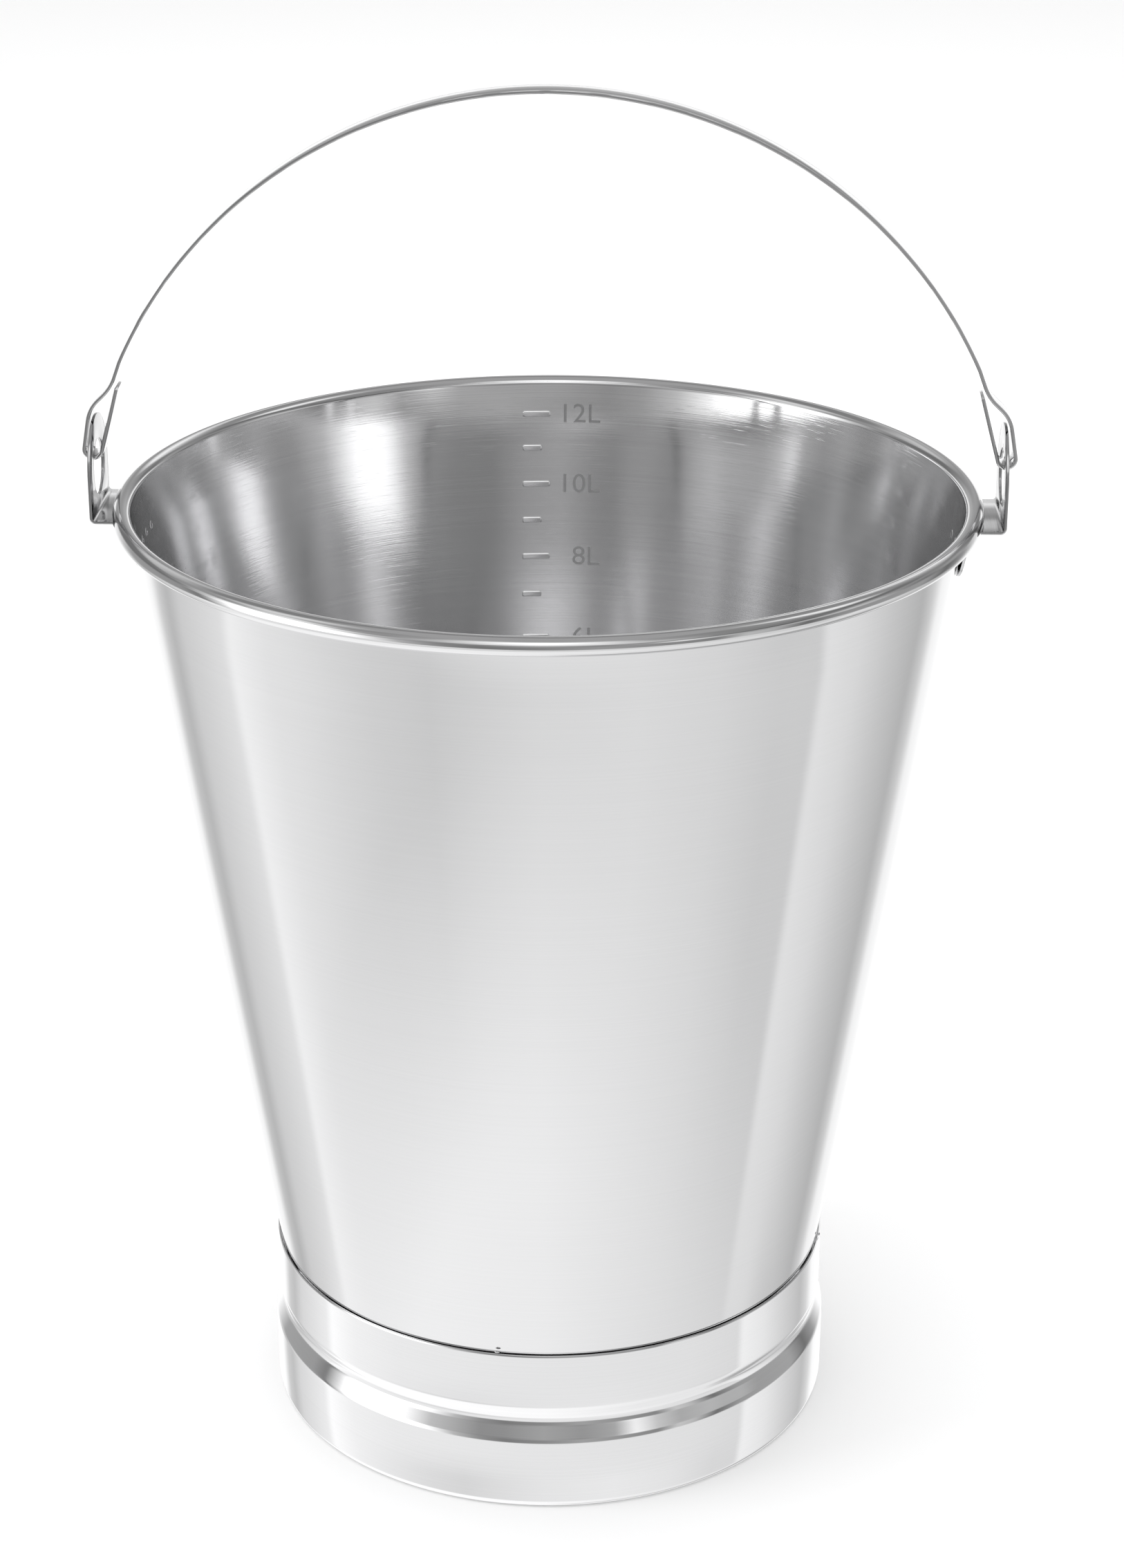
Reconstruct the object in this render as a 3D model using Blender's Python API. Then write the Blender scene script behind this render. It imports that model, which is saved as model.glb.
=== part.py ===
"""Twelve litre milk pail of stainless steel: spun body, wired rim, foot ring, two ears, strip bail.

Metres, +Z up.  The origin is the centre of the foot ring on the surface that the pail stands on.
The ears lie on the X axis, and the bail turns about a line along X through their holes.
"""
from math import atan2, cos, pi, radians, sin, sqrt

import bmesh
import bpy
from mathutils import Vector

MM = 0.001
GAP = 0.3 * MM                   # clearance kept between pieces that touch

# Pail body: a cone of thin sheet with a flat floor, its top edge curled outwards over a wire
SHEET = 0.7 * MM                 # thickness of the body's sheet
BEAD_CIRCLE = 141.8 * MM         # radius of the circle that the rim bead's centre follows
BEAD_Z = 331.4 * MM              # height of the rim bead's centre
BEAD_RADIUS = 3.2 * MM           # outside radius of the bead
BEAD_END_ANGLE = radians(-138)   # where the curl stops short of the wall, from its outer side
WALL_FOOT_RADIUS = 97.4 * MM     # outside radius of the wall at the foot ring's top edge
FLOOR_Z = 35.0 * MM              # underside of the floor
FLOOR_CORNER = 6.0 * MM          # outside radius between floor and wall
WIRE_RADIUS = 2.1 * MM           # wire inside the bead

# Foot ring: a band around the foot of the cone, with a waist, a shoulder and a turned-in edge
RING_SHEET = 0.7 * MM
RING_TOP_Z = 59.9 * MM
RING_BAND_END_Z = 40.0 * MM      # lower end of the straight band
WAIST_Z = 34.0 * MM
WAIST_RADIUS = 97.1 * MM         # outside radii of the ring
SHOULDER_Z = 25.5 * MM
SKIRT_RADIUS = 99.8 * MM
FOOT_CORNER = 2.8 * MM           # outside radius where the skirt is turned in
SKIRT_TAPER = 0.2 * MM           # how much smaller the skirt is just above that corner
FOOT_INNER_RADIUS = 95.0 * MM    # inner edge of the flat that the ring stands on

# Tack welds on the ring's top edge
WELD_ANGLES = [radians(a) for a in (-98, -8, 82, 172)]
WELD_SIZE = Vector((0.55, 1.6, 0.7)) * MM

# Ears: folded sheet with a hanging flange on the wall, a web under the bead and a round-topped tab
EAR_SHEET = 1.0 * MM
EAR_HALF_WIDTH = 18.0 * MM
TAB_X = 151.0 * MM               # middle of the tab's sheet
HINGE_Z = 341.6 * MM             # centre of the tab's hole and of its round top
HOLE_RADIUS = 9.5 * MM
FLANGE_END_Z = 309.0 * MM
FOLD_RADIUS = 1.6 * MM

# Bail: a flat strip bent to an arc, each end a narrow hook through an ear's hole
STRIP_WIDTH = 10.4 * MM
STRIP_THICKNESS = 1.2 * MM
ARC_RADIUS = 156.0 * MM          # middle of the strip
ARC_CENTRE_Z = 312.8 * MM
ARC_END_Z = 378.8 * MM
NECK = Vector((144.7, 369.7)) * MM              # the strip's middle at its bends, at +X
SHOULDER = Vector((152.2, 362.6)) * MM
LEG_OUTER_END = Vector((154.5, 349.1)) * MM     # ends of the round bottom of the hook
LEG_INNER_END = Vector((148.5, 348.5)) * MM
HOOK_TIP = Vector((142.75, 369.6)) * MM

# How finely round shapes are divided
TURN_STEPS = 64
ARC_STEPS = 40

# The wall's outside meets the inner side of the curl, so its inside runs into the bead's outside
WALL_SLOPE = (BEAD_CIRCLE - BEAD_RADIUS + SHEET - WALL_FOOT_RADIUS) / (BEAD_Z - RING_TOP_Z)
WALL_TILT = atan2(WALL_SLOPE, 1)

STEEL = (0.62, 0.62, 0.62)


def clear_scene():
    for thing in list(bpy.data.objects):
        bpy.data.objects.remove(thing)


def steel(name, shade, roughness):
    """A plain steel, with its shade as a factor on the common colour."""
    material = bpy.data.materials.new(name)
    material.use_nodes = True
    shader = material.node_tree.nodes["Principled BSDF"]
    shader.inputs["Base Color"].default_value = [shade * channel for channel in STEEL] + [1.0]
    shader.inputs["Roughness"].default_value = roughness
    shader.inputs["Metallic"].default_value = 1.0
    return material


def add_object(name, mesh, material, location=(0, 0, 0), parent=None):
    thing = bpy.data.objects.new(name, mesh)
    bpy.context.collection.objects.link(thing)
    thing.location = location
    thing.parent = parent
    mesh.materials.append(material)
    return thing


def arc(centre, radius, start, end, steps):
    """Points on an arc in a plane, both ends included."""
    angles = [start + (end - start) * step / steps for step in range(steps + 1)]
    return [centre + Vector((cos(angle), sin(angle))) * radius for angle in angles]


def polyline_mesh(name, points, closed):
    """Edges through points of the XZ plane."""
    mesh = bpy.data.meshes.new(name)
    edges = [(i, i + 1) for i in range(len(points) - 1)]
    if closed:
        edges.append((len(points) - 1, 0))
    mesh.from_pydata([(p.x, 0, p.y) for p in points], edges, [])
    return mesh


def turned(name, outline, closed, material):
    """An outline of radius and height, turned about Z."""
    thing = add_object(name, polyline_mesh(name, outline, closed), material)
    turn = thing.modifiers.new("turn", "SCREW")
    turn.axis = "Z"
    turn.angle = 2 * pi
    turn.steps = TURN_STEPS
    turn.render_steps = TURN_STEPS
    turn.use_merge_vertices = True
    turn.merge_threshold = 0.00001
    turn.use_smooth_shade = True
    return thing


def wall_radius(z):
    """Outside radius of the cone."""
    return WALL_FOOT_RADIUS + WALL_SLOPE * (z - RING_TOP_Z)


def floor_corner(radius, inset):
    """Fillet from the floor to the sloping wall, on the outside or, with an inset, on the inside."""
    centre_z = FLOOR_Z + inset + radius
    centre_r = wall_radius(centre_z) - (inset + radius) / cos(WALL_TILT)
    return arc(Vector((centre_r, centre_z)), radius, -pi / 2, -WALL_TILT, 4)


def make_body(material):
    """Runs from the middle of the floor up the inside, round the curl and back down the outside."""
    bead = Vector((BEAD_CIRCLE, BEAD_Z))
    outline = [Vector((0, FLOOR_Z + SHEET))]
    outline += floor_corner(FLOOR_CORNER - SHEET, SHEET)
    outline += arc(bead, BEAD_RADIUS, pi - WALL_TILT, BEAD_END_ANGLE, 12)
    outline += arc(bead, BEAD_RADIUS - SHEET, BEAD_END_ANGLE, pi - WALL_TILT, 10)
    outline += reversed(floor_corner(FLOOR_CORNER, 0))
    outline.append(Vector((0, FLOOR_Z)))
    return turned("pail_body", outline, False, material)


def make_rim_wire(material):
    section = arc(Vector((BEAD_CIRCLE, BEAD_Z)), WIRE_RADIUS, pi / 2, -3 * pi / 2, 8)[:-1]
    return turned("rim_wire", section, True, material)


def swell(start, end, steps):
    """A smooth S from one radius and height to another, upright at both ends."""
    points = []
    for step in range(steps + 1):
        share = step / steps
        ease = (1 - cos(pi * share)) / 2
        points.append(Vector((start.x + (end.x - start.x) * ease, start.y + (end.y - start.y) * share)))
    return points


def make_base_ring(material):
    """The band is straight, dips to a waist, flares to a shoulder and is turned in at the foot."""
    band_radius = WALL_FOOT_RADIUS + GAP + RING_SHEET
    waist = Vector((WAIST_RADIUS, WAIST_Z))
    corner = Vector((SKIRT_RADIUS - SKIRT_TAPER - FOOT_CORNER, FOOT_CORNER))
    outer = [Vector((band_radius, RING_TOP_Z))]
    outer += swell(Vector((band_radius, RING_BAND_END_Z)), waist, 3)
    outer += swell(waist, Vector((SKIRT_RADIUS, SHOULDER_Z)), 5)[1:]
    outer += arc(corner, FOOT_CORNER, 0, -pi / 2, 4)
    inner = [Vector((FOOT_INNER_RADIUS, 0)), Vector((FOOT_INNER_RADIUS, RING_SHEET))]
    for before, point, after in reversed(list(zip(outer, outer[1:], outer[2:]))):
        along = (after - before).normalized()
        inner.append(point + Vector((along.y, -along.x)) * RING_SHEET)
    inner.append(Vector((band_radius - RING_SHEET, RING_TOP_Z)))
    return turned("base_ring", outer + inner, True, material)


def make_weld(number, angle, material):
    """A bead of weld in the corner between the wall and the ring's top edge."""
    mesh = bpy.data.meshes.new("weld")
    bm = bmesh.new()
    bmesh.ops.create_icosphere(bm, subdivisions=2, radius=1)
    bmesh.ops.scale(bm, vec=WELD_SIZE, verts=bm.verts)
    bm.to_mesh(mesh)
    bm.free()
    mesh.shade_smooth()
    radius = WALL_FOOT_RADIUS + 2 * GAP + WELD_SIZE.x
    place = Vector((radius * cos(angle), radius * sin(angle), RING_TOP_Z + GAP + WELD_SIZE.z))
    thing = add_object(f"base_ring_weld_{number}", mesh, material, place)
    thing.rotation_euler.z = angle
    return thing


def fold_path():
    """Side view of the ear from the tab's foot, along the web and down the flange."""
    web_z = BEAD_Z - BEAD_RADIUS - GAP - EAR_SHEET / 2
    outer = arc(Vector((TAB_X - FOLD_RADIUS, web_z + FOLD_RADIUS)), FOLD_RADIUS, 0, -pi / 2, 3)
    clear = GAP + EAR_SHEET / 2
    centre_z = web_z - FOLD_RADIUS
    centre_x = wall_radius(centre_z) + (clear + FOLD_RADIUS) / cos(WALL_TILT)
    inner = arc(Vector((centre_x, centre_z)), FOLD_RADIUS, pi / 2, pi - WALL_TILT, 3)
    end_x = wall_radius(FLANGE_END_Z) + clear / cos(WALL_TILT)
    return outer + inner + [Vector((end_x, FLANGE_END_Z))]


def make_ear(name, side, material):
    """Folded sheet: the tab is filled around its hole, and its foot is drawn out along the folds."""
    path = fold_path()
    bm = bmesh.new()
    outline = [Vector((EAR_HALF_WIDTH, path[0].y))]
    outline += arc(Vector((0, HINGE_Z)), EAR_HALF_WIDTH, 0, pi, 16)
    outline.append(Vector((-EAR_HALF_WIDTH, path[0].y)))
    hole = arc(Vector((0, HINGE_Z)), HOLE_RADIUS, 0, -2 * pi, 20)[:-1]
    for loop in (outline, hole):
        verts = [bm.verts.new((side * TAB_X, p.x, p.y)) for p in loop]
        for i, vert in enumerate(verts):
            bm.edges.new((vert, verts[(i + 1) % len(verts)]))
    foot = [v for v in bm.verts if abs(v.co.z - path[0].y) < GAP]
    bmesh.ops.triangle_fill(bm, use_beauty=True, use_dissolve=False, edges=bm.edges[:])
    edge = bm.edges.get(foot)
    for before, after in zip(path, path[1:]):
        drawn = bmesh.ops.extrude_edge_only(bm, edges=[edge])["geom"]
        step = Vector((side * (after.x - before.x), 0, after.y - before.y))
        ends = [g for g in drawn if isinstance(g, bmesh.types.BMVert)]
        bmesh.ops.translate(bm, vec=step, verts=ends)
        edge = next(g for g in drawn if isinstance(g, bmesh.types.BMEdge))
    bmesh.ops.recalc_face_normals(bm, faces=bm.faces)
    mesh = bpy.data.meshes.new(name)
    bm.to_mesh(mesh)
    bm.free()
    return add_thickness(add_object(name, mesh, material), EAR_SHEET)


def add_thickness(thing, thickness):
    """Gives a surface its thickness, half to each side."""
    wall = thing.modifiers.new("thickness", "SOLIDIFY")
    wall.thickness = thickness
    wall.offset = 0
    wall.use_even_offset = True
    return thing


def hook_path():
    """The strip's middle line at +X, from the arc's end round the hook to its tip."""
    centre = (LEG_OUTER_END + LEG_INNER_END) / 2
    lean = (LEG_OUTER_END - LEG_INNER_END).angle_signed(Vector((1, 0)))
    bend = arc(centre, (LEG_OUTER_END - LEG_INNER_END).length / 2, lean, lean - pi, 8)
    return [NECK, SHOULDER] + bend + [HOOK_TIP]


def make_bail(parent, material):
    """An arc between two mirrored hooks, drawn out to the strip's width and thickened."""
    half_angle = atan2(sqrt(ARC_RADIUS ** 2 - (ARC_END_Z - ARC_CENTRE_Z) ** 2), ARC_END_Z - ARC_CENTRE_Z)
    crown = arc(Vector((0, ARC_CENTRE_Z)), ARC_RADIUS, pi / 2 - half_angle, pi / 2 + half_angle, ARC_STEPS)
    right = list(reversed(hook_path()))
    left = [Vector((-p.x, p.y)) for p in hook_path()]
    path = [p - Vector((0, HINGE_Z)) for p in right + crown + left]
    mesh = polyline_mesh("bail", path, False)
    bm = bmesh.new()
    bm.from_mesh(mesh)
    bmesh.ops.translate(bm, vec=(0, -STRIP_WIDTH / 2, 0), verts=bm.verts)
    drawn = bmesh.ops.extrude_edge_only(bm, edges=bm.edges[:])["geom"]
    ends = [g for g in drawn if isinstance(g, bmesh.types.BMVert)]
    bmesh.ops.translate(bm, vec=(0, STRIP_WIDTH, 0), verts=ends)
    bmesh.ops.recalc_face_normals(bm, faces=bm.faces)
    bm.to_mesh(mesh)
    bm.free()
    return add_thickness(add_object("bail", mesh, material, parent=parent), STRIP_THICKNESS)


def main():
    clear_scene()
    make_body(steel("body_steel", 1.0, 0.18))
    make_rim_wire(steel("wire_steel", 0.8, 0.4))
    make_base_ring(steel("ring_steel", 1.0, 0.2))
    weld_metal = steel("weld_metal", 0.85, 0.45)
    for number, angle in enumerate(WELD_ANGLES, 1):
        make_weld(number, angle, weld_metal)
    ear_steel = steel("ear_steel", 0.9, 0.3)
    make_ear("ear_left", -1, ear_steel)
    make_ear("ear_right", 1, ear_steel)
    hinge = bpy.data.objects.new("bail_hinge", None)
    bpy.context.collection.objects.link(hinge)
    hinge.location = (0, 0, HINGE_Z)
    make_bail(hinge, steel("bail_steel", 0.95, 0.3))
    bpy.context.view_layer.update()


main()
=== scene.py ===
"""Looks of a twelve litre milk pail of stainless steel.

Metres, +Z up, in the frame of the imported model: the foot stands on z = 0, the ears lie on the X axis.
"""
from math import atan2, cos, degrees, pi, radians, sin, sqrt

import bmesh
import bpy
from mathutils import Matrix, Vector


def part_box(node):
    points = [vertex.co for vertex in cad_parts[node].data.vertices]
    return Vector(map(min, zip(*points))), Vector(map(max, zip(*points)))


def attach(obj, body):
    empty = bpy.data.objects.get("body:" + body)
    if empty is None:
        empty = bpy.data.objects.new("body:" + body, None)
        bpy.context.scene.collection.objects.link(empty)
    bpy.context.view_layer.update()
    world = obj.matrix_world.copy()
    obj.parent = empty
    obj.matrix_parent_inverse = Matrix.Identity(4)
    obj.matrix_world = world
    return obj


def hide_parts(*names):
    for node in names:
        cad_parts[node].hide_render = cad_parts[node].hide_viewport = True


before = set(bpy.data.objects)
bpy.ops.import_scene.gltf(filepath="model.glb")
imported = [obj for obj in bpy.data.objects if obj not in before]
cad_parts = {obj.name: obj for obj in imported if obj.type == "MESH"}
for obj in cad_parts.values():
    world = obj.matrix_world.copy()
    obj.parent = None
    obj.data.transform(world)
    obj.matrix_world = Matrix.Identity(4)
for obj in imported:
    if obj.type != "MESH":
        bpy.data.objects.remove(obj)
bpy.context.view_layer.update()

MM = 0.001
TINY = 0.01 * MM

# Sheet and bead of the pail's body
SHEET = 0.7 * MM
BEAD_RADIUS = 3.2 * MM
BEAD_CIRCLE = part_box("pail_body")[1].x - BEAD_RADIUS
BEAD_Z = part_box("pail_body")[1].z - BEAD_RADIUS
BEAD_END_ANGLE = radians(-138)
FLOOR_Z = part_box("pail_body")[0].z
FLOOR_CORNER = 6.0 * MM
FLOOR_HUB = 6.0 * MM
RING_TOP_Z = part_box("base_ring")[1].z
WALL_FOOT_RADIUS = 97.4 * MM
WALL_SLOPE = (BEAD_CIRCLE - BEAD_RADIUS + SHEET - WALL_FOOT_RADIUS) / (BEAD_Z - RING_TOP_Z)
WALL_TILT = atan2(WALL_SLOPE, 1)

# Foot ring
RING_SHEET = 0.7 * MM
BAND_RADIUS = WALL_FOOT_RADIUS + 0.3 * MM + RING_SHEET
BAND_END_Z = 38.8 * MM
WAIST_TOP = Vector((97.1, 35.2)) * MM
WAIST_FOOT = Vector((97.1, 32.4)) * MM
SHOULDER = Vector((99.8, 26.8)) * MM
RING_BEND = 1.2 * MM             # how far each bend of the ring reaches
FOOT_CORNER = 2.8 * MM
SKIRT_TAPER = 0.2 * MM
FOOT_INNER_RADIUS = 95.0 * MM

# Ears
EAR_SHEET = 1.0 * MM
EAR_HALF_WIDTH = 18.0 * MM
EAR_EDGE = 0.14 * MM             # how far the sheet's edges are broken
TAB_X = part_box("ear_right")[1].x - EAR_SHEET / 2
HINGE_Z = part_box("ear_right")[1].z - EAR_HALF_WIDTH
HOLE_RADIUS = 9.5 * MM
FLANGE_END_Z = 309.0 * MM
FOLD_RADIUS = 1.6 * MM
FLANGE_CORNER = 12.0 * MM
EAR_GAP = 0.3 * MM

# Bail
STRIP_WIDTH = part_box("bail")[1].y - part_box("bail")[0].y
STRIP_THICKNESS = 1.2 * MM
STRIP_EDGE = 0.22 * MM
ARC_RADIUS = 156.0 * MM
ARC_CENTRE_Z = 312.8 * MM
ARC_END_Z = 378.8 * MM
NECK = Vector((144.7, 369.7)) * MM
HOOK_SHOULDER = Vector((152.2, 362.6)) * MM
LEG_OUTER_END = Vector((154.5, 349.1)) * MM
LEG_INNER_END = Vector((148.5, 348.5)) * MM
HOOK_TIP = Vector((142.75, 369.6)) * MM

# Litre scale on the inside of the back wall
MARK_HEIGHTS = {12: 321.2, 11: 308.7, 10: 295.3, 9: 281.9, 8: 268.3, 7: 254.1, 6: 237.8}
MARK_PITCH = 15.4                # below the sixth litre, in millimetres
LONG_MARK = 10.3 * MM
SHORT_MARK = 7.2 * MM
MARK_WIDTH = 2.2 * MM
MARK_LIFT = 0.5 * MM
MARK_EDGE = 0.42 * MM
MARK_ROUND = 0.7 * MM            # rounding of a mark's ends
MARK_START = -15.2 * MM          # left end of every mark, along X
FIGURE_HEIGHT = 7.2 * MM
CAPITAL_SHARE = 0.73             # a capital's height over the size of the letters
FIGURE_RISE = 0.5 * MM           # how far the numbers stand above the marks' middles
FIGURE_SPREAD = 1.08
FIGURE_END = 13.8 * MM           # right end of every number, along X
FIGURE_LIFT = 0.06 * MM
LINER_DEPTH = 0.2 * MM           # how far marks and figures reach into the sheet

# Welds
WELD_SIZE = Vector((0.3, 0.9, 0.4)) * MM
SPOT_Z = 317.0 * MM              # height of the spot welds beside the ears
SPOT_PLACES = (-12, -4, 4, 12)   # how far they lie from the ear's middle, in millimetres
SPOT_PROFILE = ((0.35, 0.02), (0.7, 0.03), (1.05, 0.12), (1.3, 0.16), (1.55, 0.12), (1.8, 0.0), (1.9, -0.08))

# Camera and studio
EYE = Vector((0.0465, -1.1088, 0.6872))
LOOK = Vector((-0.03492, 0.92357, -0.38183))
LENS = 79.75
SOFT_FILL = 0.95                 # light from all sides on the table

TURN_SEGMENTS = 256


# ---------------------------------------------------------------- modelling helpers

def begin(kind, **place):
    """Adds a primitive with nothing else selected, and returns its object."""
    if bpy.context.object and bpy.context.object.mode != "OBJECT":
        bpy.ops.object.mode_set(mode="OBJECT")
    bpy.ops.object.select_all(action="DESELECT")
    getattr(bpy.ops.mesh, f"primitive_{kind}_add")(**place)
    return bpy.context.object


def only(piece):
    """Makes a piece the one that operators act on."""
    bpy.ops.object.select_all(action="DESELECT")
    piece.select_set(True)
    bpy.context.view_layer.objects.active = piece


def edit():
    bpy.ops.object.mode_set(mode="EDIT")


def done():
    bpy.ops.object.mode_set(mode="OBJECT")


def settle(piece, name):
    """Moves a piece's place into its mesh and gives it its name."""
    only(piece)
    bpy.ops.object.transform_apply(location=True, rotation=True, scale=True)
    piece.name = name
    piece.data.name = name
    return piece


def pick(kind, test):
    """In edit mode, selects the vertices, edges or faces whose middle passes a test."""
    bpy.ops.mesh.select_mode(type=kind)
    bpy.ops.mesh.select_all(action="DESELECT")
    cage = bmesh.from_edit_mesh(bpy.context.object.data)
    parts = {"VERT": cage.verts, "EDGE": cage.edges, "FACE": cage.faces}[kind]
    for part in parts:
        if kind == "VERT":
            middle = part.co
        elif kind == "EDGE":
            middle = (part.verts[0].co + part.verts[1].co) / 2
        else:
            middle = part.calc_center_median()
        part.select_set(test(middle))
    cage.select_flush_mode()
    bmesh.update_edit_mesh(bpy.context.object.data)


def draw_out(step):
    bpy.ops.mesh.extrude_edges_move(TRANSFORM_OT_translate={"value": step})


def modify(piece, kind, **settings):
    """Adds a modifier and applies it."""
    only(piece)
    change = piece.modifiers.new(kind.lower(), kind)
    for key, value in settings.items():
        setattr(change, key, value)
    bpy.ops.object.modifier_apply(modifier=change.name)


def tidy(piece, angle=30):
    """Merges doubles, points the faces outwards and shades smooth up to an angle."""
    only(piece)
    edit()
    bpy.ops.mesh.select_all(action="SELECT")
    bpy.ops.mesh.remove_doubles(threshold=TINY)
    bpy.ops.mesh.normals_make_consistent(inside=False)
    done()
    bpy.ops.object.shade_smooth_by_angle(angle=radians(angle))


def joined(pieces, name, finish):
    """Makes one piece of several, with one name and one finish."""
    only(pieces[0])
    for piece in pieces:
        piece.select_set(True)
    bpy.ops.object.join()
    whole = pieces[0]
    whole.name = name
    whole.data.name = name
    whole.data.materials.clear()
    whole.data.materials.append(finish)
    return whole


def arc(centre, radius, start, end, steps):
    """Points on an arc, both ends included."""
    angles = [start + (end - start) * step / steps for step in range(steps + 1)]
    return [centre + Vector((cos(angle), sin(angle))) * radius for angle in angles]


def soften(points, reach, steps):
    """A path whose inner corners are rounded, starting a reach before each."""
    path = [points[0]]
    for before, corner, after in zip(points, points[1:], points[2:]):
        start = corner + (before - corner).normalized() * reach
        end = corner + (after - corner).normalized() * reach
        for step in range(steps + 1):
            share = step / steps
            path.append(start.lerp(corner, share).lerp(corner.lerp(end, share), share))
    return path + [points[-1]]


def turned(name, outline, closed_hub=False, segments=TURN_SEGMENTS):
    """A ring of edges, drawn out along an outline of radius and height."""
    start = outline[0]
    piece = begin("circle", vertices=segments, radius=start.x, location=(0, 0, start.y))
    settle(piece, name)
    edit()
    bpy.ops.mesh.select_all(action="SELECT")
    if closed_hub:
        draw_out((0, 0, 0))
        bpy.ops.mesh.merge(type="CENTER")
        pick("EDGE", lambda middle: middle.to_2d().length > start.x * 0.9)
    for before, after in zip(outline, outline[1:]):
        draw_out((0, 0, after.y - before.y))
        growth = after.x / before.x
        bpy.ops.transform.resize(value=(growth, growth, 1), center_override=(0, 0, after.y))
    done()
    return piece


def thicken(piece, thickness, offset, **settings):
    modify(piece, "SOLIDIFY", thickness=thickness, offset=offset, use_even_offset=True, **settings)


def wall_radius(z):
    """Outside radius of the cone."""
    return WALL_FOOT_RADIUS + WALL_SLOPE * (z - RING_TOP_Z)


def lining_radius(z):
    """Inside radius of the cone."""
    return wall_radius(z) - SHEET / cos(WALL_TILT)


# ---------------------------------------------------------------- finishes

class Tone:
    """A socket of a finish that can be written into an expression."""

    def __init__(self, finish, socket):
        self.finish = finish
        self.socket = socket

    def combine(self, operation, first, second):
        return self.finish.node("ShaderNodeMath", {"operation": operation}, {0: first, 1: second})

    def __add__(self, other):
        return self.combine("ADD", self, other)

    def __radd__(self, other):
        return self.combine("ADD", other, self)

    def __sub__(self, other):
        return self.combine("SUBTRACT", self, other)

    def __rsub__(self, other):
        return self.combine("SUBTRACT", other, self)

    def __mul__(self, other):
        return self.combine("MULTIPLY", self, other)

    def __rmul__(self, other):
        return self.combine("MULTIPLY", other, self)

    def towards(self, other, share):
        return self + (other - self) * share


class Finish:
    """A material or a world, built up node by node."""

    def __init__(self, owner, shader):
        self.owner = owner
        owner.use_nodes = True
        self.tree = owner.node_tree
        self.shader = self.tree.nodes[shader]

    def feed(self, socket, value):
        if isinstance(value, Tone):
            self.tree.links.new(value.socket, socket)
        else:
            socket.default_value = value

    def node(self, kind, settings, sockets, output=0):
        """A node with its settings, then the values or links of its sockets."""
        made = self.tree.nodes.new(kind)
        for key, value in settings.items():
            if key == "stops":
                elements = made.color_ramp.elements
                while len(elements) < len(value):
                    elements.new(1)
                for stop, (place, light) in zip(elements, value):
                    stop.position = place
                    stop.color = (light, light, light, 1)
            else:
                setattr(made, key, value)
        for key, value in sockets.items():
            self.feed(made.inputs[key], value)
        return Tone(self, made.outputs[output])

    def grain(self, scale, detail=2.0, roughness=0.5):
        """Noise on the piece's own coordinates, stretched by a scale along each axis."""
        place = self.node("ShaderNodeTexCoord", {}, {}, output=3)
        stretched = self.node("ShaderNodeMapping", {}, {"Vector": place, "Scale": scale})
        return self.node(
            "ShaderNodeTexNoise",
            {},
            {"Vector": stretched, "Scale": 1.0, "Detail": detail, "Roughness": roughness},
        )

    def band(self, tone, low, high):
        """Spreads the stretch from low to high over 0 to 1."""
        return self.node("ShaderNodeMapRange", {}, {"Value": tone, "From Min": low, "From Max": high})

    def relief(self, height, distance):
        return self.node("ShaderNodeBump", {}, {"Height": height, "Distance": distance, "Strength": 1.0})

    def colour(self, tone, dark, light):
        """A grey between two colours."""
        return self.node(
            "ShaderNodeMix",
            {"data_type": "RGBA"},
            {0: tone, 6: (*dark, 1), 7: (*light, 1)},
            output=2,
        )


def steel(name, dark, light, smooth, rough, brush, brush_depth, scratch_depth, metal=1.0):
    """Stainless steel: brushed along one direction, with fine scratches and faint handling haze."""
    finish = Finish(bpy.data.materials.new(name), "Principled BSDF")
    lines = finish.grain(brush, detail=3.0, roughness=0.6)
    haze = finish.grain((14, 14, 11), detail=4.0, roughness=0.6)
    scratches = finish.band(finish.grain((90, 90, 2600), detail=1.0), 0.62, 0.72)
    shade = finish.band(0.65 * lines + 0.35 * haze, 0.32, 0.68)
    finish.feed(finish.shader.inputs["Base Color"], finish.colour(shade, dark, light))
    worn = finish.band(0.55 * haze + 0.45 * lines, 0.30, 0.70)
    finish.feed(finish.shader.inputs["Roughness"], smooth + (rough - smooth) * worn)
    height = brush_depth * lines + scratch_depth * scratches
    finish.feed(finish.shader.inputs["Normal"], finish.relief(height, 1.0))
    finish.shader.inputs["Metallic"].default_value = metal
    return finish.owner


GREY = (0.66, 0.66, 0.665)


def grey(factor):
    return tuple(channel * factor for channel in GREY)


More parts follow.
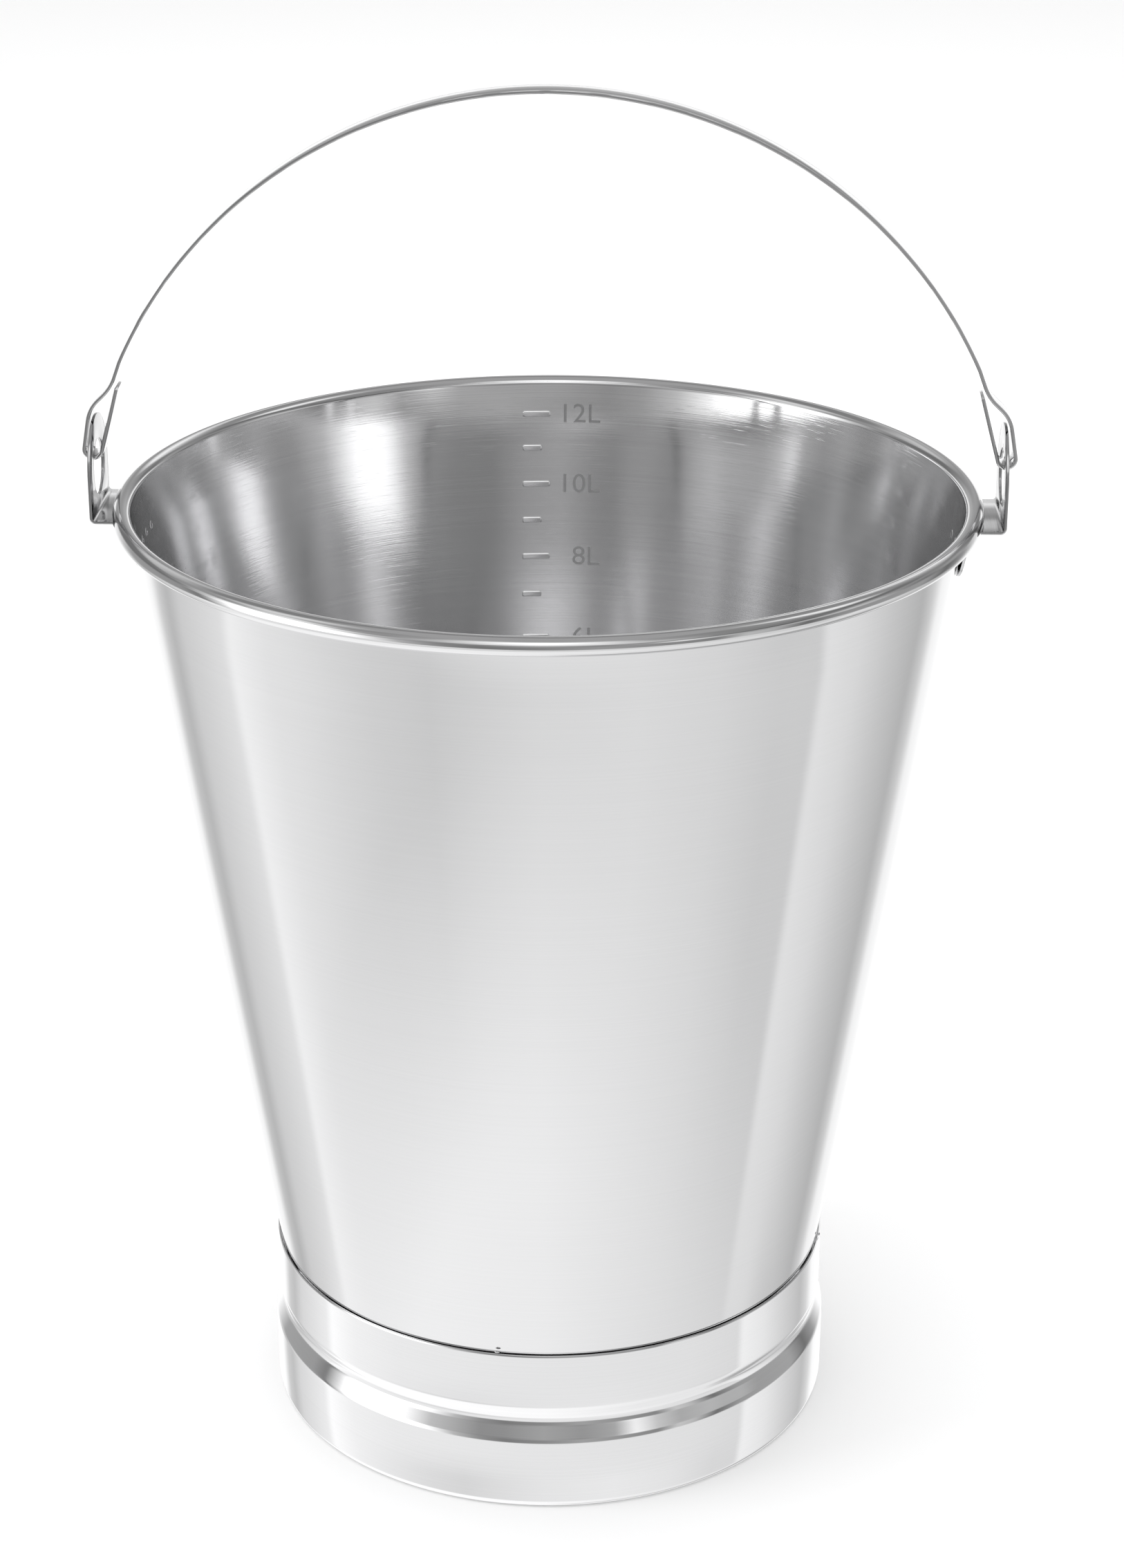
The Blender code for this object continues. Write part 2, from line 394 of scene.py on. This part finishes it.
def make_finishes():
    around = (5, 5, 2600)
    return {
        "inside": steel("pail_brushed_inside", grey(1.12), grey(1.24), 0.05, 0.1, around, 9e-6, -3e-6, 0.91),
        "outside": steel("pail_polished_outside", grey(1.0), grey(1.03), 0.05, 0.09, around, 6e-8, -1e-7),
        # The foot ring's steel is lighter than the wall's: painted light standing in for the bright table it
        # mirrors.
        "ring": steel("ring_polished_painted_light", grey(1.16), grey(1.2), 0.04, 0.07, around, 1e-7, -2e-7),
        "mark": steel("mark_pressed", grey(1.3), grey(1.4), 0.16, 0.24, around, 1e-6, -1e-6, 0.9),
        "figure": steel("figure_etched", grey(0.70), grey(0.78), 0.26, 0.36, around, 2e-6, -1e-6, 0.92),
        # The ears' steel is darker than the wall's: painted shade standing in for the dark surroundings and
        # shaded bead that the ears mirror.
        "ear": steel("ear_rolled_painted_shade", grey(0.70), grey(0.84), 0.08, 0.14, (3000, 60, 60), 6e-7, -4e-7),
        "bail": steel("bail_rolled", grey(0.98), grey(1.10), 0.06, 0.10, (60, 3200, 60), 4e-7, -3e-7),
        "weld": steel("weld_bead", grey(0.72), grey(0.95), 0.25, 0.42, (700, 700, 700), 1.2e-5, -1e-6),
        "wire": steel("wire_drawn", grey(0.7), grey(0.85), 0.3, 0.42, (40, 40, 2500), 2e-6, -1e-6),
    }


# ---------------------------------------------------------------- pieces

def body_outline():
    """Milk side of the floor, its corner, the wall and the curl of the bead."""
    milk_side = FLOOR_Z + SHEET
    corner_radius = FLOOR_CORNER - SHEET
    corner_z = milk_side + corner_radius
    corner = Vector((wall_radius(corner_z) - (SHEET + corner_radius) / cos(WALL_TILT), corner_z))
    bead = Vector((BEAD_CIRCLE, BEAD_Z))
    outline = [Vector((FLOOR_HUB, milk_side))]
    outline += [Vector((corner.x * share, milk_side)) for share in (0.3, 0.6, 0.85)]
    outline += arc(corner, corner_radius, -pi / 2, -WALL_TILT, 10)
    curl = arc(bead, BEAD_RADIUS, pi - WALL_TILT, BEAD_END_ANGLE, 36)
    foot = outline[-1]
    outline += [foot.lerp(curl[0], step / 14) for step in range(1, 14)]
    return outline + curl


def make_body(finishes):
    """Floor, wall and curled bead in one sheet, drawn from the middle of the floor."""
    body = turned("pail_shell", body_outline(), closed_hub=True)
    body.data.materials.append(finishes["inside"])
    body.data.materials.append(finishes["outside"])
    tidy(body)
    thicken(body, SHEET, -1)
    only(body)
    for face in body.data.polygons:
        middle = face.center
        outside = middle.to_2d().length > wall_radius(middle.z) - SHEET / 2 or middle.z < FLOOR_Z + TINY
        face.material_index = 1 if outside or middle.z > BEAD_Z - BEAD_RADIUS else 0
    tidy(body)
    return body


def make_ring(finishes):
    """The band is straight, dips to a waist, flares to a shoulder and is turned in at the foot."""
    corner = Vector((SHOULDER.x - SKIRT_TAPER - FOOT_CORNER, FOOT_CORNER))
    bends = [Vector((BAND_RADIUS, RING_TOP_Z - 1.0 * MM)), Vector((BAND_RADIUS, BAND_END_Z))]
    bends += [WAIST_TOP, WAIST_FOOT, SHOULDER, Vector((SHOULDER.x - SKIRT_TAPER / 2, SHOULDER.y / 2))]
    outline = [Vector((BAND_RADIUS, RING_TOP_Z))] + soften(bends, RING_BEND, 6)
    outline += arc(corner, FOOT_CORNER, 0, -pi / 2, 10)
    outline.append(Vector((FOOT_INNER_RADIUS, 0)))
    ring = turned("foot_ring", outline)
    ring.data.materials.append(finishes["ring"])
    tidy(ring)
    thicken(ring, RING_SHEET, -1)
    modify(ring, "BEVEL", width=0.1 * MM, segments=2, limit_method="ANGLE", angle_limit=radians(60))
    tidy(ring)
    return ring


def ear_tab(side, foot_z):
    """The round-topped tab, flat and upright, with its hole."""
    tab = begin("circle", vertices=128, radius=EAR_HALF_WIDTH, location=(0, 0, 0))
    edit()
    pick("VERT", lambda middle: middle.y < -TINY)
    bpy.ops.mesh.delete(type="VERT")
    pick("VERT", lambda middle: abs(middle.y) < TINY)
    bpy.ops.mesh.extrude_vertices_move(TRANSFORM_OT_translate={"value": (0, foot_z - HINGE_Z, 0)})
    bpy.ops.mesh.edge_face_add()
    bpy.ops.mesh.select_all(action="DESELECT")
    bpy.ops.mesh.primitive_circle_add(vertices=64, radius=HOLE_RADIUS)
    bpy.ops.mesh.select_all(action="SELECT")
    bpy.ops.mesh.fill(use_beauty=True)
    done()
    tab.rotation_euler = (pi / 2, 0, pi / 2)
    tab.location = (side * TAB_X, 0, HINGE_Z)
    return tab


def ear_folds(web_z):
    """From the tab's foot under the bead to the wall, and down along it."""
    clear = EAR_GAP + EAR_SHEET / 2
    fold_x = wall_radius(web_z - FOLD_RADIUS) + (clear + FOLD_RADIUS) / cos(WALL_TILT)
    path = arc(Vector((TAB_X - FOLD_RADIUS, web_z + FOLD_RADIUS)), FOLD_RADIUS, 0, -pi / 2, 8)
    path += arc(Vector((fold_x, web_z - FOLD_RADIUS)), FOLD_RADIUS, pi / 2, pi - WALL_TILT, 8)
    path.append(Vector((wall_radius(FLANGE_END_Z) + clear / cos(WALL_TILT), FLANGE_END_Z)))
    return path


def make_ear(name, side, finishes):
    """A round-topped tab with a hole, its foot folded under the bead and down the wall."""
    web_z = BEAD_Z - BEAD_RADIUS - EAR_GAP - EAR_SHEET / 2
    foot_z = web_z + FOLD_RADIUS
    ear = settle(ear_tab(side, foot_z), name)
    path = ear_folds(web_z)
    edit()
    pick("EDGE", lambda middle: abs(middle.z - foot_z) < TINY)
    for before, after in zip(path, path[1:]):
        draw_out((side * (after.x - before.x), 0, after.y - before.y))
    pick("VERT", lambda middle: middle.z < FLANGE_END_Z + TINY)
    bpy.ops.mesh.bevel(offset=FLANGE_CORNER, segments=10, affect="VERTICES")
    done()
    ear.data.materials.append(finishes["ear"])
    tidy(ear)
    thicken(ear, EAR_SHEET, 0)
    modify(ear, "BEVEL", width=EAR_EDGE, segments=2, limit_method="ANGLE", angle_limit=radians(60))
    tidy(ear)
    return ear


def hook_path(arc_end):
    """From the end of the arc over the shoulder, round the foot of the hook and up to its tip."""
    centre = (LEG_OUTER_END + LEG_INNER_END) / 2
    lean = (LEG_OUTER_END - LEG_INNER_END).angle_signed(Vector((1, 0)))
    radius = (LEG_OUTER_END - LEG_INNER_END).length / 2
    bends = soften([arc_end, NECK, HOOK_SHOULDER, LEG_OUTER_END], 4 * MM, 6)
    return bends + arc(centre, radius, lean, lean - pi, 20) + [HOOK_TIP]


def make_bail(finishes):
    """Half of the strip, from the crown round the hook to its tip, then its mirror."""
    rise = ARC_END_Z - ARC_CENTRE_Z
    half_angle = atan2(sqrt(ARC_RADIUS ** 2 - rise ** 2), rise)
    bail = begin("plane", size=STRIP_WIDTH, location=(0, 0, ARC_CENTRE_Z + ARC_RADIUS))
    settle(bail, "bail_strip")
    edit()
    pick("VERT", lambda middle: middle.x < 0)
    bpy.ops.mesh.delete(type="VERT")
    bpy.ops.mesh.select_all(action="SELECT")
    bpy.ops.transform.translate(value=(-STRIP_WIDTH / 2, 0, 0))
    bpy.ops.mesh.spin(steps=56, angle=-half_angle, center=(0, 0, ARC_CENTRE_Z), axis=(0, 1, 0))
    path = hook_path(Vector((ARC_RADIUS * sin(half_angle), ARC_END_Z)))
    for before, after in zip(path, path[1:]):
        draw_out((after.x - before.x, 0, after.y - before.y))
    done()
    modify(bail, "MIRROR", use_axis=(True, False, False), merge_threshold=TINY)
    bail.data.materials.append(finishes["bail"])
    tidy(bail)
    thicken(bail, STRIP_THICKNESS, 0)
    modify(bail, "BEVEL", width=STRIP_EDGE, segments=3, limit_method="ANGLE", angle_limit=radians(60))
    tidy(bail)
    return bail


def make_weld(name, node, number, finishes):
    """A small uneven bead of weld in the corner between wall and ring."""
    low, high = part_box(node)
    weld = begin("ico_sphere", subdivisions=4, radius=1, location=(0, 0, 0))
    edit()
    bpy.ops.mesh.select_all(action="SELECT")
    bpy.ops.transform.resize(value=WELD_SIZE, center_override=(0, 0, 0))
    bpy.ops.transform.vertex_random(offset=0.05 * MM, seed=number)
    bpy.ops.mesh.vertices_smooth(factor=0.5, repeat=3)
    done()
    middle = (low + high) / 2
    weld.location = middle
    weld.rotation_euler.z = atan2(middle.y, middle.x)
    settle(weld, name)
    weld.data.materials.append(finishes["weld"])
    tidy(weld, 60)
    return weld


def liner(lift):
    """A thin closed sleeve in the wall that stands a lift proud of its inner side."""
    top, bottom = BEAD_Z - 3 * MM, FLOOR_Z + 12 * MM
    proud = lift / cos(WALL_TILT)
    sunk = LINER_DEPTH / cos(WALL_TILT)
    outline = [Vector((lining_radius(top) - proud, top)), Vector((lining_radius(bottom) - proud, bottom))]
    outline += [Vector((lining_radius(bottom) + sunk, bottom)), Vector((lining_radius(top) + sunk, top))]
    sleeve = turned("liner", outline + outline[:1], segments=720)
    tidy(sleeve)
    return sleeve


def mark_heights():
    """Height of every litre's mark, in millimetres."""
    heights = dict(MARK_HEIGHTS)
    for litre in (5, 4, 3, 2):
        heights[litre] = heights[litre + 1] - MARK_PITCH
    return heights


def make_bar(length, height):
    """One mark with round ends and a soft front edge, turned and leaned to lie on the wall."""
    bar = begin("cube", size=1, location=(0, 0, 0), scale=(length, 2 * MARK_LIFT, MARK_WIDTH))
    settle(bar, "bar")
    edit()
    pick("EDGE", lambda middle: abs(middle.y) < TINY)
    bpy.ops.mesh.bevel(offset=MARK_ROUND, segments=6)
    pick("EDGE", lambda middle: middle.y < TINY - MARK_LIFT)
    bpy.ops.mesh.bevel(offset=MARK_EDGE, segments=4)
    done()
    middle = MARK_START + length / 2
    turn = atan2(middle, lining_radius(height))
    bar.rotation_euler = (-WALL_TILT, 0, -turn)
    bar.location = (middle, cos(turn) * lining_radius(height), height)
    settle(bar, "bar")
    tidy(bar, 50)
    return bar


def make_marks(finishes):
    """Pressed bars, long ones at even litres, each set on the inside of the back wall."""
    bars = []
    for litre, height in mark_heights().items():
        bars.append(make_bar(SHORT_MARK if litre % 2 else LONG_MARK, height * MM))
    return joined(bars, "litre_marks", finishes["mark"])


def make_figure(words, height):
    """A number and its L as a thick plate that stands through the back wall."""
    bpy.ops.object.select_all(action="DESELECT")
    bpy.ops.object.text_add(location=(0, 0, 0))
    text = bpy.context.object
    text.data.body = words
    text.data.size = FIGURE_HEIGHT / CAPITAL_SHARE
    text.data.align_x = "RIGHT"
    text.data.extrude = 6 * MM
    text.data.resolution_u = 6
    bpy.ops.object.convert(target="MESH")
    figure = bpy.context.object
    figure.rotation_euler.x = pi / 2
    figure.location = (FIGURE_END, lining_radius(height), height - FIGURE_HEIGHT / 2 + FIGURE_RISE)
    figure.scale.x = FIGURE_SPREAD
    return settle(figure, "figure")


def make_figures(finishes):
    """Etched numbers to the right of the long marks: what the plates share with the liner."""
    heights = mark_heights()
    plates = [make_figure(f"{litre}L", heights[litre] * MM) for litre in (12, 10, 8, 6, 4, 2)]
    figures = joined(plates, "litre_figures", finishes["figure"])
    tidy(figures)
    sleeve = liner(FIGURE_LIFT)
    modify(figures, "BOOLEAN", operation="INTERSECT", object=sleeve, solver="EXACT")
    bpy.data.objects.remove(sleeve)
    figures.data.materials.clear()
    figures.data.materials.append(finishes["figure"])
    tidy(figures, 50)
    return figures


def make_spot(turn, facing):
    """One shallow dimple on the milk side."""
    outline = [Vector(point) * MM for point in SPOT_PROFILE]
    spot = turned("spot", outline, closed_hub=True, segments=24)
    edit()
    pick("EDGE", lambda middle: middle.z < -0.02 * MM)
    bpy.ops.mesh.edge_face_add()
    done()
    reach = Matrix.Translation((lining_radius(SPOT_Z), 0, SPOT_Z))
    spot.matrix_world = Matrix.Rotation(turn, 4, "Z") @ reach @ facing
    settle(spot, "spot")
    tidy(spot)
    return spot


def make_spot_welds(name, side, finishes):
    """Dimples where the ear's flange is welded on behind the wall."""
    facing = Vector((-1, 0, WALL_SLOPE)).to_track_quat("Z", "Y").to_matrix().to_4x4()
    half_turn = pi if side < 0 else 0
    spots = [make_spot(across * MM / wall_radius(SPOT_Z) + half_turn, facing) for across in SPOT_PLACES]
    return joined(spots, name, finishes["inside"])


# ---------------------------------------------------------------- studio

# Light that the steel sees, layer by layer from the table up to the ceiling.  A stop is an azimuth in
# degrees, 0 behind the pail and 90 at its right, and a brightness.
FOOT = ((-180, 1.24), (-60, 1.34), (-30, 1.18), (25, 1.12), (40, 0.46), (62, 0.52), (78, 1.00), (115, 1.04),
        (180, 1.24))
TABLE = ((-180, 1.00), (-160, 0.92), (-146, 0.86), (-128, 0.92), (-115, 0.99), (-92, 1.12), (-77, 1.27),
         (-73, 1.06), (-62, 0.94), (-52, 0.84), (-44, 0.62), (-37, 0.70), (-29, 1.16), (29, 1.16),
         (36, 0.80), (44, 0.62), (60, 0.80), (75, 1.00), (88, 1.10), (91, 0.86), (104, 0.87),
         (125, 0.98), (150, 1.04), (180, 1.00))
NEAR = ((-180, 1.00), (-115, 1.05), (-92, 1.12), (-77, 1.27), (-73, 1.06), (-62, 0.94), (-52, 0.84),
        (-44, 0.64), (-37, 0.72), (-29, 1.14), (29, 1.14), (36, 0.80), (44, 0.62), (60, 0.80),
        (75, 1.00), (88, 1.10), (91, 0.88), (115, 0.94), (180, 1.00))
LOW = ((-180, 0.32), (-165, 0.25), (-155, 0.35), (-145, 0.60), (-135, 1.30), (-126, 2.20), (-100, 2.20),
       (-92, 1.00), (-84, 0.25), (-76, 0.40), (-50, 0.45), (-32, 1.20), (30, 1.20), (46, 0.40), (56, 0.20),
       (68, 0.45), (98, 0.40), (110, 0.20), (120, 0.60), (127, 0.70), (135, 0.30), (165, 0.44), (180, 0.32))
SIDE = ((-180, 0.44), (-165, 0.30), (-155, 0.32), (-145, 0.50), (-135, 0.65), (-125, 1.25), (-115, 1.95),
        (-105, 2.10), (-95, 1.80), (-85, 0.75), (-75, 0.30), (-65, 0.22), (-35, 0.22), (-15, 0.52),
        (5, 0.52), (25, 0.24), (35, 0.23), (45, 0.44), (55, 0.40), (65, 0.24), (75, 0.35), (85, 0.62),
        (95, 0.76), (105, 0.62), (125, 0.50), (135, 0.70), (144, 1.20), (152, 0.50), (165, 0.34),
        (180, 0.44))
MID = ((-180, 0.45), (-155, 0.42), (-145, 0.56), (-135, 0.73), (-125, 1.25), (-115, 2.05), (-105, 2.20),
       (-95, 1.80), (-85, 0.85), (-75, 0.48), (-65, 0.33), (-55, 0.25), (-35, 0.22), (-15, 0.34), (5, 0.42),
       (25, 0.32), (35, 0.28), (55, 0.34), (75, 0.38), (88, 0.50), (98, 0.32), (106, 0.18), (115, 0.15),
       (125, 0.20), (145, 0.40), (180, 0.45))
HIGH = ((-180, 1.25), (-165, 1.00), (-150, 0.65), (-138, 0.38), (-125, 0.52), (-115, 1.00), (-105, 1.10),
        (-95, 0.75), (-85, 0.42), (-65, 0.40), (-50, 0.60), (-30, 0.78), (-15, 0.50), (-5, 0.60), (5, 0.95),
        (15, 1.30), (25, 1.05), (35, 0.65), (45, 0.40), (60, 0.24), (90, 0.22), (115, 0.30), (132, 0.34),
        (145, 0.62), (162, 1.00), (180, 1.25))
UPPER = ((-180, 1.90), (-160, 1.10), (-145, 0.45), (-120, 0.36), (-103, 0.60), (-88, 1.00), (-75, 0.80),
         (-60, 0.30), (0, 0.30), (55, 0.38), (68, 1.20), (80, 1.20), (92, 0.40), (120, 0.32), (145, 0.45),
         (160, 1.10), (180, 1.90))
CEILING = ((-180, 0.48), (180, 0.48))
DOME = ((-46, FOOT), (-39, TABLE), (-36, TABLE), (-33, NEAR), (-26, NEAR), (-19, LOW), (3, LOW), (9, SIDE),
        (14, SIDE), (19, MID), (22, MID), (27, HIGH), (35, HIGH), (43, UPPER), (56, UPPER), (66, CEILING))
BRIGHTEST = 4.0                  # the ramps hold shares of it


def softbox(name, azimuth, elevation, distance, width, height, strength):
    """A lamp that looks at the pail from a side. Azimuth 0 is behind it, 90 at its right."""
    turn, rise = radians(azimuth), radians(elevation)
    target = Vector((0, 0, 0.1))
    towards = Vector((sin(turn) * cos(rise), cos(turn) * cos(rise), sin(rise)))
    bpy.ops.object.select_all(action="DESELECT")
    bpy.ops.object.light_add(type="AREA", location=target + towards * distance)
    lamp = bpy.context.object
    lamp.name = name
    lamp.rotation_euler = towards.to_track_quat("Z", "Y").to_euler()
    lamp.data.shape = "RECTANGLE"
    lamp.data.size = width
    lamp.data.size_y = height
    lamp.data.energy = strength * width * height * pi
    lamp.visible_glossy = False
    lamp.visible_camera = False
    return lamp


def round_light(sky, share, lights):
    """Brightness round the horizon, read from stops."""
    stops = [((azimuth + 180) / 360, light / BRIGHTEST) for azimuth, light in lights]
    return BRIGHTEST * sky.node("ShaderNodeValToRGB", {"stops": stops}, {"Fac": share})


def make_sky():
    """What the steel mirrors: soft light on all sides, brighter where the softboxes stand."""
    world = bpy.data.worlds.new("studio")
    bpy.context.scene.world = world
    sky = Finish(world, "Background")
    sky.feed(sky.shader.inputs["Color"], (1, 1, 1, 1))
    direction = sky.node("ShaderNodeTexCoord", {}, {})
    along = [sky.node("ShaderNodeSeparateXYZ", {}, {"Vector": direction}, output=axis) for axis in range(3)]
    turn = sky.node("ShaderNodeMath", {"operation": "ARCTAN2"}, {0: along[0], 1: along[1]})
    rise = sky.node("ShaderNodeMath", {"operation": "ARCSINE"}, {0: along[2]}) * degrees(1)
    share = turn * (0.5 / pi) + 0.5
    light = round_light(sky, share, DOME[0][1])
    for (low, below), (high, above) in zip(DOME, DOME[1:]):
        if above is not below:
            light = light.towards(round_light(sky, share, above), sky.band(rise, low, high))
    seen = sky.node("ShaderNodeLightPath", {}, {})
    diffuse = sky.node("ShaderNodeLightPath", {}, {}, output=2)
    plain = seen + SOFT_FILL * diffuse
    sky.feed(sky.shader.inputs["Strength"], plain + light * (1 - seen) * (1 - diffuse))


def make_studio():
    make_sky()
    table = begin("plane", size=60)
    table.name = "table"
    paint = bpy.data.materials.new("table_white")
    paint.use_nodes = True
    paint.node_tree.nodes["Principled BSDF"].inputs["Base Color"].default_value = (0.92, 0.92, 0.92, 1)
    paint.node_tree.nodes["Principled BSDF"].inputs["Roughness"].default_value = 0.8
    table.data.materials.append(paint)
    table.visible_glossy = False
    softbox("softbox_left", -106, 35, 2.0, 0.95, 1.3, 2.2)
    softbox("softbox_right", 100, 30, 2.2, 1.6, 1.1, 0.4)
    overhead = softbox("softbox_top", 0, 90, 1.5, 2.2, 4.4, 0.8)
    overhead.rotation_euler = (0, 0, 0)


def make_camera():
    bpy.ops.object.camera_add(location=EYE)
    camera = bpy.context.object
    camera.rotation_euler = LOOK.to_track_quat("-Z", "Y").to_euler()
    camera.data.lens = LENS
    camera.data.sensor_width = 36
    bpy.context.scene.camera = camera


def fit(piece, body, slot, *nodes):
    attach(piece, body)
    if nodes:
        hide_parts(*nodes)


def make_pail():
    """Every piece with the body it rides on and the nodes that it stands for."""
    finishes = make_finishes()
    fit(make_body(finishes), "pail", "pail_steel", "pail_body")
    fit(make_ring(finishes), "pail", "ring_steel", "base_ring")
    fit(make_ear("ear_sheet_left", -1, finishes), "pail", "ear_steel", "ear_left")
    fit(make_ear("ear_sheet_right", 1, finishes), "pail", "ear_steel", "ear_right")
    fit(make_bail(finishes), "bail", "bail_steel", "bail")
    for number in range(1, 5):
        node = f"base_ring_weld_{number}"
        fit(make_weld(f"tack_weld_{number}", node, number, finishes), "pail", "weld_metal", node)
    fit(make_marks(finishes), "pail", "pail_steel")
    fit(make_figures(finishes), "pail", "pail_steel")
    fit(make_spot_welds("spot_welds_left", -1, finishes), "pail", "pail_steel")
    fit(make_spot_welds("spot_welds_right", 1, finishes), "pail", "pail_steel")
    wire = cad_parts["rim_wire"]
    wire.data.materials.clear()
    wire.data.materials.append(finishes["wire"])


make_pail()
make_studio()
make_camera()
bpy.context.scene.view_settings.view_transform = "Standard"
